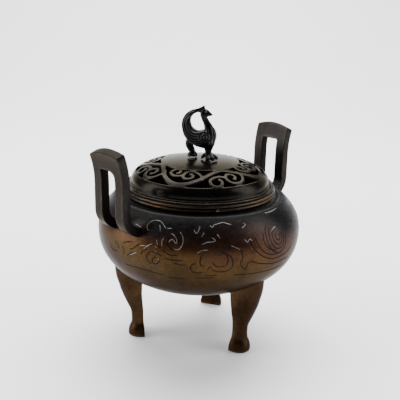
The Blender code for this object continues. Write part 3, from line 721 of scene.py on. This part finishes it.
def buildEar(name, side, slotCorners, lift, slant):
    # A strap in the shape of an arch, bent along the ear's middle line: the section is a rounded oblong.
    s = earShape
    line = earLine()
    inner, outer = earBorders(line, slotCorners, lift, slant)
    half, e = s["thickness"] / 2, s["edge"]
    width = np.linalg.norm(outer - inner, axis=1)[:, None]
    corner = np.radians(np.linspace(0, 90, 6))
    cx, cy = e * (1 - np.cos(corner)), e * (1 - np.sin(corner))
    level = np.zeros(5)
    between = (width - 2 * e) * np.linspace(0, 1, 7)[1:-1]
    # distance from the inner border, and height off the middle of the thickness, round the section
    section = [(width - cx, half - cy), (width - e - between, level + half), (cx[::-1], half - cy[::-1]),
               (cx, cy - half), (e + between, level - half), (width - cx[::-1], cy[::-1] - half)]
    reach, off = (np.hstack([np.ones_like(width) * part[i] for part in section]) for i in (0, 1))
    share = reach / width
    across = inner[:, :1] + share * (outer - inner)[:, :1]
    along = inner[:, 1:] + share * (outer - inner)[:, 1:]
    distance, height, tilt = (np.interp(along, line[:, 0], line[:, i]) for i in (1, 2, 3))
    x, z = distance + off * np.sin(tilt), height - off * np.cos(tilt)
    # what would reach into the bowl stops in the middle of its wall, seen from the belly's centre
    centre = bowlShape["bellyHeight"]
    radius = np.hypot(x, across)
    wallRadius, wallHeight = midWall[:, 0], midWall[:, 1] - centre
    wallFar = np.interp(np.arctan2(z - centre, radius), np.arctan2(wallHeight, wallRadius),
                        np.hypot(wallRadius, wallHeight))
    push = np.maximum(wallFar / np.hypot(radius, z - centre), 1.0)
    points, sets = tube(np.stack([side * x * push, across * push, centre + (z - centre) * push], -1))
    onEdge = bell(np.abs(off), half - 0.15, 0.25) * ((share < 0.12) | (share > 0.9))
    # painted shade on the slot's walls, the top face and the root, which stay darker than the rest
    onTop = (share > 0.97) & (along > along.max() - 4.5)
    shade = (share < 0.03) * 0.85 + onTop * 0.6 + 0.5 * bell(along, 0, 10.0)
    marks = {"wear": 0.6 * onEdge.ravel(), "recess": shade.clip(0, 0.9).ravel()}
    return piece(name, meshOf(name, points, sets, marks), bronze["ear"], "vessel")


buildEar("ear_left", -1, (4.2, 1.0), 0.9, -0.8)
buildEar("ear_right", 1, (1.0, 1.0), 0.2, 0.0)
print("ears bent")


# Lid

lidShape = {
    "domeRadius": 44.0, "domeBase": 104.2, "domeRise": 14.4, "fullness": 2.3, "wall": 2.2,
    "innerRing": 25.0, "outerRing": 41.0, "gridIn": 24.2, "gridOut": 41.8, "rows": 58, "columns": 560,
    "waves": 4, "start": -130.5, "waveWidth": 2.8, "curlWidth": 2.0, "curlHead": 1.15, "fillet": 0.9,
    "edgeRound": 0.3, "flangeRadius": 47.5, "flangeTop": 102.6, "flangeBottom": 101.5,
    "spigotOuter": 42.6, "spigotInner": 40.2, "spigotEnd": 97.5,
    # radius and height: the flare between side and flange, and the inside above the spigot
    "flare": [(44.0, 104.2), (44.06, 103.7), (44.35, 103.15), (44.95, 102.76)],
    "innerFlare": [(41.4, 104.6), (41.75, 105.8)],
    "grooveHeight": 103.2, "grooveRadius": 43.9,  # the shaded hollow of the flare
}
ringMiddle = (lidShape["innerRing"] + lidShape["outerRing"]) / 2
ringReach = lidShape["outerRing"] - lidShape["innerRing"]


def domeHeight(r):
    # z = base + rise (1 - (r/R)^n)^(1/n)
    s = lidShape
    n = s["fullness"]
    return s["domeBase"] + s["domeRise"] * (1 - (r / s["domeRadius"]).clip(0, 1) ** n) ** (1 / n)


def scroll(centre, turnsAndRadii, run):
    # A scroll about its eye: radius runs smoothly through a few values as the angle turns.
    turn, radius = throughPoints(np.array(turnsAndRadii, float) * (np.pi / 2, run), 12).T
    return np.array(centre) + polar(radius, turn)


def curlLines():
    # Centre lines of one lobe's two curls, as (run along the ring, reach off the ring), in millimetres.
    run = np.pi / lidShape["waves"] * ringMiddle
    big = scroll((0.367 * run, 0.388 * ringReach),
                 [(1.72, 0.36), (2.5, 0.235), (3, 0.181), (4, 0.124), (5, 0.143), (6, 0.116), (6.5, 0.075)], run)
    small = scroll((0.745 * run, 0.255 * ringReach),
                   [(1.75, 0.262), (1, 0.139), (0, 0.131), (-1, 0.151), (-2, 0.112), (-2.3, 0.095)], run)
    return big, small


def toPlan(line, lobe):
    # Lobe coordinates to plan (x, y): angle falls with the run, and every other lobe hangs on the outer ring.
    s = lidShape
    angle = math.radians(s["start"]) - lobe * np.pi / s["waves"] - line[:, 0] / ringMiddle
    return polar(s["outerRing"] - line[:, 1] if lobe % 2 else s["innerRing"] + line[:, 1], angle)


def farFrom(points, line):
    # Distance of each point to a polyline.
    a, b = line[:-1], line[1:]
    ab = b - a
    ap = points[:, None, :] - a[None]
    t = (np.einsum("psk,sk->ps", ap, ab) / np.einsum("sk,sk->s", ab, ab)).clip(0, 1)
    return np.linalg.norm(ap - t[..., None] * ab[None], axis=2).min(1)


def joined(a, b, fillet):
    # Smooth maximum: the greater of two depths, with a fillet where they are nearly equal.
    h = (fillet - np.abs(a - b)).clip(0) / fillet
    return np.maximum(a, b) + h * h * fillet / 4


def strapDepth(radii, angles):
    # How far each grid point lies inside the bronze of the openwork; negative in an opening.
    s = lidShape
    points = polar(radii[:, None], angles).reshape(-1, 2)
    flatRadius = np.hypot(*points.T)
    depth = joined(s["innerRing"] - flatRadius, flatRadius - s["outerRing"], 0.1)
    turn = np.linspace(-0.6, 2.6, 260) * np.pi / s["waves"]
    wave = ringMiddle + (ringReach / 2 - 0.4 * s["waveWidth"]) * np.sin(s["waves"] * turn)
    waveLine = polar(wave, math.radians(s["start"]) - turn)
    depth = joined(depth, s["waveWidth"] / 2 - farFrom(points, waveLine), s["fillet"])
    for lobe in range(-1, 3):
        for line in curlLines():
            plan = toPlan(line, lobe)
            depth = joined(depth, s["curlWidth"] / 2 - farFrom(points, plan), s["fillet"])
            depth = joined(depth, s["curlHead"] - np.linalg.norm(points - plan[-1], axis=1), 0.4)
    return depth.reshape(len(radii), len(angles))


def piercedRing():
    # Cells of a polar grid cut where the depth crosses zero, doubled downwards and walled along the cuts.
    s = lidShape
    rows, columns = s["rows"] + 1, s["columns"]
    radii = np.linspace(s["gridIn"], s["gridOut"], rows)
    step = 2 * np.pi / columns
    theta = math.radians(s["start"]) - np.arange(columns) * step
    depth = np.tile(strapDepth(radii, theta[:columns // s["waves"]]), (1, s["waves"]))
    depth[[0, 1, -2, -1]] = depth[[0, 1, -2, -1]].clip(0.05)
    depth = np.where(np.abs(depth) < 0.004, 0.004, depth)
    grid = np.arange(rows * columns).reshape(rows, columns)
    radial = grid.size + np.arange((rows - 1) * columns).reshape(rows - 1, columns)
    around = radial.size + grid.size + grid
    tRadial = (depth[:-1] / (depth[:-1] - depth[1:] + 1e-12)).clip(0, 1)
    tAround = (depth / (depth - np.roll(depth, -1, 1) + 1e-12)).clip(0, 1)
    r = np.concatenate([np.repeat(radii, columns),
                        (radii[:-1, None] + tRadial * np.diff(radii)[:, None]).ravel(), np.repeat(radii, columns)])
    a = np.concatenate([np.tile(theta, rows), np.tile(theta, rows - 1), (theta - tAround * step).ravel()])
    inward = np.concatenate([depth.ravel(), np.zeros(radial.size + around.size)])

    def cellCorners(values):
        return [values[:-1], values[1:], np.roll(values[1:], -1, 1), np.roll(values[:-1], -1, 1)]

    corners, solid = cellCorners(grid), cellCorners(depth > 0)
    cuts = [radial, around[1:], np.roll(radial, -1, 1), around[:-1]]
    case = sum(solid[i] * (1 << i) for i in range(4))
    faces, walls = {}, []
    for kind in range(1, 16):
        cells = case == kind
        if not cells.any():
            continue
        inside = [bool(kind >> i & 1) for i in range(4)]
        ring = []
        for i in range(4):
            if inside[i]:
                ring.append((corners[i][cells], False))
            if inside[i] != inside[(i + 1) % 4]:
                ring.append((cuts[i][cells], True))
        faces.setdefault(len(ring), []).append(np.stack([entry[0] for entry in ring], 1))
        for first, second in zip(ring, ring[1:] + ring[:1]):
            if first[1] and second[1]:
                walls.append(np.stack([first[0], second[0]], 1))
    faces = [np.concatenate(parts) for parts in faces.values()]
    walls = np.concatenate(walls)
    # edges of the straps are rounded over by a quarter circle that starts one radius inside them
    e = s["edgeRound"]
    fall = e - np.sqrt((e * e - (e - inward.clip(0, e)) ** 2).clip(0))
    top = polar(r, a, domeHeight(r) - fall)
    low = polar(r, a, domeHeight(r) - s["wall"] + 0.5 * fall)
    count = len(top)
    sets = faces + [part[:, ::-1] + count for part in faces]
    sets.append(np.stack([walls[:, 1], walls[:, 0], walls[:, 0] + count, walls[:, 1] + count], 1))
    wear = np.concatenate([0.35 * bell(inward, 0.25, 0.25) * (inward > 0), np.zeros(count)])
    # painted shade on the openings' cut walls and over the whole underside
    recess = np.concatenate([(inward <= 0) * 0.28, np.full(count, 0.8)])
    return np.vstack([top, low]), sets, wear, recess, theta


def lidProfileOut():
    # From the openwork's outer ring over the side, flare, flange and spigot to the ring's underside.
    s = lidShape
    side = np.linspace(s["gridOut"], s["domeRadius"], 200)
    side = resampled(np.stack([side, domeHeight(side)], 1), 16)
    flange, top, low = s["flangeRadius"], s["flangeTop"], s["flangeBottom"]
    outer, inner, end, ease = s["spigotOuter"], s["spigotInner"], s["spigotEnd"], 0.3
    flare = throughPoints(s["flare"] + [(45.8, top + 0.02), (flange - 0.5, top), (flange - 0.12, top - 0.12),
                                        (flange, top - 0.45), (flange - 0.08, low + 0.2), (flange - 0.35, low)], 3)[1:]
    spigot = [(outer + 0.2, low), (outer, low - 0.25), (outer, end + ease), (outer - ease, end), (inner + ease, end),
              (inner, end + ease), (inner, top), (inner + 0.8, top + 1.2)] + s["innerFlare"]
    return np.vstack([side, flare, spigot, [(s["gridOut"], domeHeight(np.array(s["gridOut"])) - s["wall"])]])


def buildLid():
    s = lidShape
    points, sets, wear, recess, theta = piercedRing()
    crown = np.linspace(0, s["gridIn"], 22)
    crownTop = np.stack([crown, domeHeight(crown)], 1)
    outside = lidProfileOut()
    r, z = outside.T
    flangeWear = bell(r, s["flangeRadius"] - 0.3, 0.35) * (z > s["flangeTop"] - 0.3)
    grooveShade = 0.25 * bell(z, s["grooveHeight"], 0.5) * (r > s["grooveRadius"])
    grooveShade += (z < s["flangeBottom"] + 0.7) * 0.6
    # painted shade: 0.8 on the crown's underside, and grooveShade in the flare's hollow and under the flange
    parts, wears, shades = [(points, sets)], [wear], [recess]
    # turned on the pierced ring's own columns, so that the welded rims meet point to point
    for profile, order, worn, sunk in ((crownTop, 1, 0, 0), ((crownTop - (0, s["wall"]))[::3], -1, 0, 0.8),
                                       (outside, 1, flangeWear, grooveShade)):
        parts.append((turnedPoints(profile, theta).reshape(-1, 3), [gridFaces(len(profile), len(theta))[:, ::order]]))
        wears.append(np.repeat(worn * np.ones(len(profile)), len(theta)))
        shades.append(np.repeat(sunk * np.ones(len(profile)), len(theta)))
    marks = {"wear": np.concatenate(wears), "recess": np.concatenate(shades)}
    mesh = turnedOut(welded(meshOf("lid_shell", *merged(parts), marks)))
    return piece("lid_shell", mesh, bronze["lid"], "lid")


buildLid()
print("lid pierced")


# Bird finial

birdShape = {
    "heading": -56.0, "standing": 118.9, "voxel": 0.2,
    # sideways shift, and stations of forward, height, half height, half width
    "tubes": {
        "body": (0, [(-1.6, 30.3, 1.0, 1.0), (-3.6, 29.7, 1.3, 1.4), (-5.8, 28.7, 1.6, 1.8),
                     (-8.3, 26.2, 2.15, 2.2), (-9.3, 22.9, 2.8, 2.6), (-9.0, 19.2, 3.35, 3.0),
                     (-7.6, 16.3, 3.95, 3.4), (-5.0, 13.8, 4.7, 4.0), (-1.6, 12.5, 5.35, 4.6),
                     (2.6, 12.3, 6.15, 5.0), (5.6, 12.6, 5.1, 4.4), (7.9, 12.9, 2.7, 2.8)]),
        "neck": (0, [(4.4, 10.0, 2.7, 2.8), (5.4, 12.5, 4.1, 4.0), (5.9, 15.5, 4.15, 3.9), (5.25, 18.6, 3.25, 3.2),
                     (3.9, 22.0, 2.3, 2.3), (2.3, 24.9, 1.95, 1.95), (1.75, 27.3, 2.35, 2.2), (1.8, 29.2, 2.4, 2.1),
                     (2.1, 30.9, 1.4, 1.4)]),
        "beak": (0, [(1.6, 28.9, 2.5, 2.1), (3.2, 28.6, 2.5, 1.9), (4.8, 28.2, 1.75, 1.45), (6.2, 27.9, 0.95, 0.9),
                     (7.3, 27.7, 0.3, 0.35)]),
        "rearLeg": (-1.9, [(-5.6, 13.4, 2.9, 2.3), (-7.4, 9.4, 2.75, 2.2), (-7.4, 6.9, 2.55, 2.0),
                           (-6.1, 4.5, 2.1, 1.8), (-5.7, 2.4, 1.9, 1.7), (-5.9, 0.5, 1.9, 1.7)]),
        "frontLeg": (1.3, [(5.5, 13.5, 4.2, 3.1), (5.6, 10.2, 3.75, 2.8), (5.35, 7.2, 2.9, 2.3),
                           (5.2, 4.6, 2.1, 2.0), (5.2, 2.2, 1.85, 1.85), (5.3, 0.5, 1.8, 1.8)]),
    },
    "crest": [(-6.6, 29.7), (-4.7, 30.6), (-2.1, 31.4), (0.2, 32.5), (1.9, 33.5), (2.15, 33.0), (2.35, 31.4),
              (2.7, 29.0), (0.0, 28.8), (-2.2, 29.0), (-4.6, 28.8)],
    "crestHalf": 0.85,
    "frontToes": [(1.2, 3.2), (6.4, 8.6), (9.6, 7.2), (11.6, 2.9)],
    "rearToes": [(-3.2, -3.9), (-3.6, -1.2), (-7.4, 0.8)],
    "frontAnkle": (5.3, 1.6), "rearAnkle": (-5.7, -1.9),
    # forward and height of the tail's centre, the wing's swirl and the eye
    "tailHub": (-2.2, 21.6), "wing": (3.4, 14.2), "eye": (3.3, 29.7),
}


def sweptTube(shift, stations, sides=20):
    # Ovals carried along a path in the bird's own plane: centre + up cos t + out sin t.
    rows = throughPoints(stations, 5)
    path = rows[:, :2]
    along = directions(path)
    t = np.arange(sides) * 2 * np.pi / sides
    up, out = rows[:, 2:3] * np.cos(t), rows[:, 3:4] * np.sin(t)
    return tube(np.stack([path[:, :1] - along[:, 1:] * up, shift + out, path[:, 1:] + along[:, :1] * up], -1))


def crestPlate():
    # The comb's outline at both sides of the middle plane, as one closed plate.
    s = birdShape
    profile = np.array(s["crest"])
    half = np.full(len(profile), s["crestHalf"])
    return tube(np.stack([np.column_stack([profile[:, 0], side * half, profile[:, 1]]) for side in (-1, 1)]))


def toeTube(ankle, tip, sides=12):
    # Ovals on the lid from ankle to tip, lower and narrower along the way and flat where they stand.
    ankle, tip = np.array(ankle), np.array(tip)
    way = np.array([0.0, 0.3, 0.62, 0.85, 1.0])[:, None] * (tip - ankle)
    rows = throughPoints(np.column_stack([ankle + way, (4.2, 3.1, 2.1, 1.4, 0.8), (1.7, 1.65, 1.65, 1.6, 1.2)]), 4)
    heading = (tip - ankle) / np.linalg.norm(tip - ankle)
    t = np.arange(sides) * 2 * np.pi / sides
    out = rows[:, 3:4] * np.cos(t)
    height = (rows[:, 2:3] + 0.9 * rows[:, 3:4] * np.sin(t)).clip(0.02)
    return tube(np.stack([rows[:, :1] - heading[1] * out, rows[:, 1:2] + heading[0] * out, height], -1))


def birdRelief(points, normals):
    # Feather ridges in the side view: cosine bands that follow the tail's sweep, a wing swirl, breast lines.
    s = birdShape
    f, h = points[:, 0], points[:, 2]
    sideways = np.abs(normals[:, 1]).clip(0, 1)

    def ridges(value, width):
        return np.cos(2 * np.pi * value / width)

    def about(place):
        across, up = f - s[place][0], h - s[place][1]
        return np.hypot(across, up), np.arctan2(up, across)

    tailRadius, tailTurn = about("tailHub")
    tailTurn = np.degrees(tailTurn) % 360
    onTail = fade(tailTurn, 95, 110) * fade(tailTurn, 305, 265) * (f < 2.5) * fade(sideways, 0.2, 0.55)
    wingRadius, wingTurn = about("wing")
    onWing = np.exp(-((wingRadius / 3.6) ** 4)) * sideways
    swirl = np.cos(2 * np.pi * wingRadius / 1.5 - wingTurn)
    relief = 0.3 * ridges(tailRadius - 5.4, 1.45) * onTail * (1 - onWing) + 0.34 * swirl * onWing
    breast = ridges(f + 0.025 * (h - 16) ** 2 + 0.15 * h, 1.7)
    relief += 0.16 * breast * fade(f, 4.2, 6.2) * fade(h, 7, 10) * fade(h, 23, 19) * (1 - onWing)
    relief += 0.07 * ridges(h + 0.8 * f, 1.3) * fade(h, 21, 23) * fade(h, 28, 26.5) * (f > 0)
    eye = about("eye")[0]
    relief += 0.3 * bell(eye, 0, 0.55) - 0.22 * bell(eye, 1.0, 0.3) * (f > 1)
    relief -= 0.2 * bell(h + 0.05 * f, 28.6, 0.22) * (f > 4.4) * sideways  # the beak's line
    return relief + 0.05 * ridges(h, 1.1) * (h < 6) * (h > 1.8)


def meshArrays(mesh):
    arrays = []
    for source, key in ((mesh.vertices, "co"), (mesh.vertex_normals, "vector")):
        values = np.empty(len(mesh.vertices) * 3, np.float32)
        source.foreach_get(key, values)
        arrays.append(values.reshape(-1, 3).astype(float))
    return arrays


def evaluatedCopy(item):
    bpy.context.view_layer.update()
    graph = bpy.context.evaluated_depsgraph_get()
    return bpy.data.meshes.new_from_object(item.evaluated_get(graph), depsgraph=graph)


def buildBird():
    # Tubes and plate melted into one skin by a voxel remesh, smoothed, and given its relief along the normals.
    s = birdShape
    tubes = [sweptTube(*line) for line in s["tubes"].values()] + [crestPlate()]
    for foot in ("front", "rear"):
        tubes += [toeTube(s[foot + "Ankle"], tip) for tip in s[foot + "Toes"]]
    rough = placed("bird_rough", meshOf("bird_rough", *merged(tubes)))
    remesh = rough.modifiers.new("one_skin", "REMESH")
    remesh.mode = "VOXEL"
    remesh.voxel_size = s["voxel"] * mm
    soften = rough.modifiers.new("soften", "SMOOTH")
    soften.factor = 0.5
    soften.iterations = 5
    mesh = evaluatedCopy(rough)
    bpy.data.objects.remove(rough)
    own, normals = meshArrays(mesh)
    own /= mm
    relief = birdRelief(own, normals)
    forward, sideways, up = (own + normals * relief[:, None]).T
    a = math.radians(s["heading"])
    world = np.stack([forward * math.cos(a) + sideways * math.sin(a),
                      forward * math.sin(a) - sideways * math.cos(a), s["standing"] + up.clip(0)], 1)
    mesh.vertices.foreach_set("co", (world * mm).astype(np.float32).ravel())
    # placing the bird mirrors its side axis, so the faces are turned to point out again
    mesh.flip_normals()
    mesh.update()
    # the raised relief is rubbed lighter; painted shade darkens the relief's hollows
    addMarks(mesh, {"wear": (relief * 2.8).clip(0, 0.6), "recess": (-relief * 3.5).clip(0, 0.9)})
    return piece("bird", mesh, bronze["bird"], "bird_finial")


buildBird()
print("bird modelled")


# Floor and light

stageSetup = {
    # metres
    "floorSize": 4.0, "wallDistance": 1.15, "wallHeight": 2.2, "curve": 0.55, "tone": (0.94, 0.94, 0.972),
}


def buildStage():
    # A pale sheet that runs along the floor and curves up behind the object.
    s = stageSetup
    half, curve, wall = s["floorSize"] / 2, s["curve"], s["wallDistance"]
    bend = np.linspace(0, np.pi / 2, 16)[1:]
    run = np.concatenate([np.linspace(-half, wall - curve, 12), wall - curve + curve * np.sin(bend), np.full(6, wall)])
    rise = np.concatenate([np.zeros(12), curve * (1 - np.cos(bend)), np.linspace(curve, s["wallHeight"], 7)[1:]])
    a = math.radians(cameraSetup["azimuth"])
    away, level = np.array([-math.sin(a), math.cos(a), 0]), np.array([math.cos(a), math.sin(a), 0])
    width = np.linspace(-half, half, 9)
    points = run[:, None, None] * away + width[None, :, None] * level + rise[:, None, None] * np.array([0, 0, 1])
    mesh = meshOf("backdrop", points.reshape(-1, 3) / mm, [gridFaces(len(run), 9, False)[:, ::-1]])
    material, tree, shader = newMaterial("paleSheet")
    fill(tree, shader, {"Base Color": (*s["tone"], 1), "Roughness": 0.45, "Specular IOR Level": 0.35})
    mesh.materials.append(material)
    mesh.shade_smooth()
    placed("backdrop", mesh)


lights = {
    # azimuth and elevation from the object in degrees; distance, width and height in metres; watts
    "top": (136, 68, 1.1, 1.3, 1.1, 23.0),
    "left": (-128, 20, 0.95, 0.6, 0.9, 12.0),
    "right": (40, 22, 0.95, 0.5, 0.9, 7.5),
    "back": (136, 58, 1.3, 2.0, 0.8, 32.0),
}
lightAim = 0.08  # metres above the floor


def buildLights():
    # Area lights that all face one point in the object, and a faint even world.
    for name, (azimuth, elevation, distance, width, height, power) in lights.items():
        data = bpy.data.lights.new(name, "AREA")
        data.shape = "RECTANGLE"
        data.size, data.size_y, data.energy = width, height, power
        item = placed(name, data)
        back = outlook(azimuth, elevation)
        item.location = back * distance + Vector((0, 0, lightAim))
        item.rotation_euler = back.to_track_quat("Z", "Y").to_euler()
    world = bpy.data.worlds.new("softRoom")
    world.use_nodes = True
    background = world.node_tree.nodes["Background"].inputs
    background["Color"].default_value = (1, 1, 1, 1)
    background["Strength"].default_value = 0.08
    bpy.context.scene.world = world


buildStage()
buildLights()
print("stage lit")
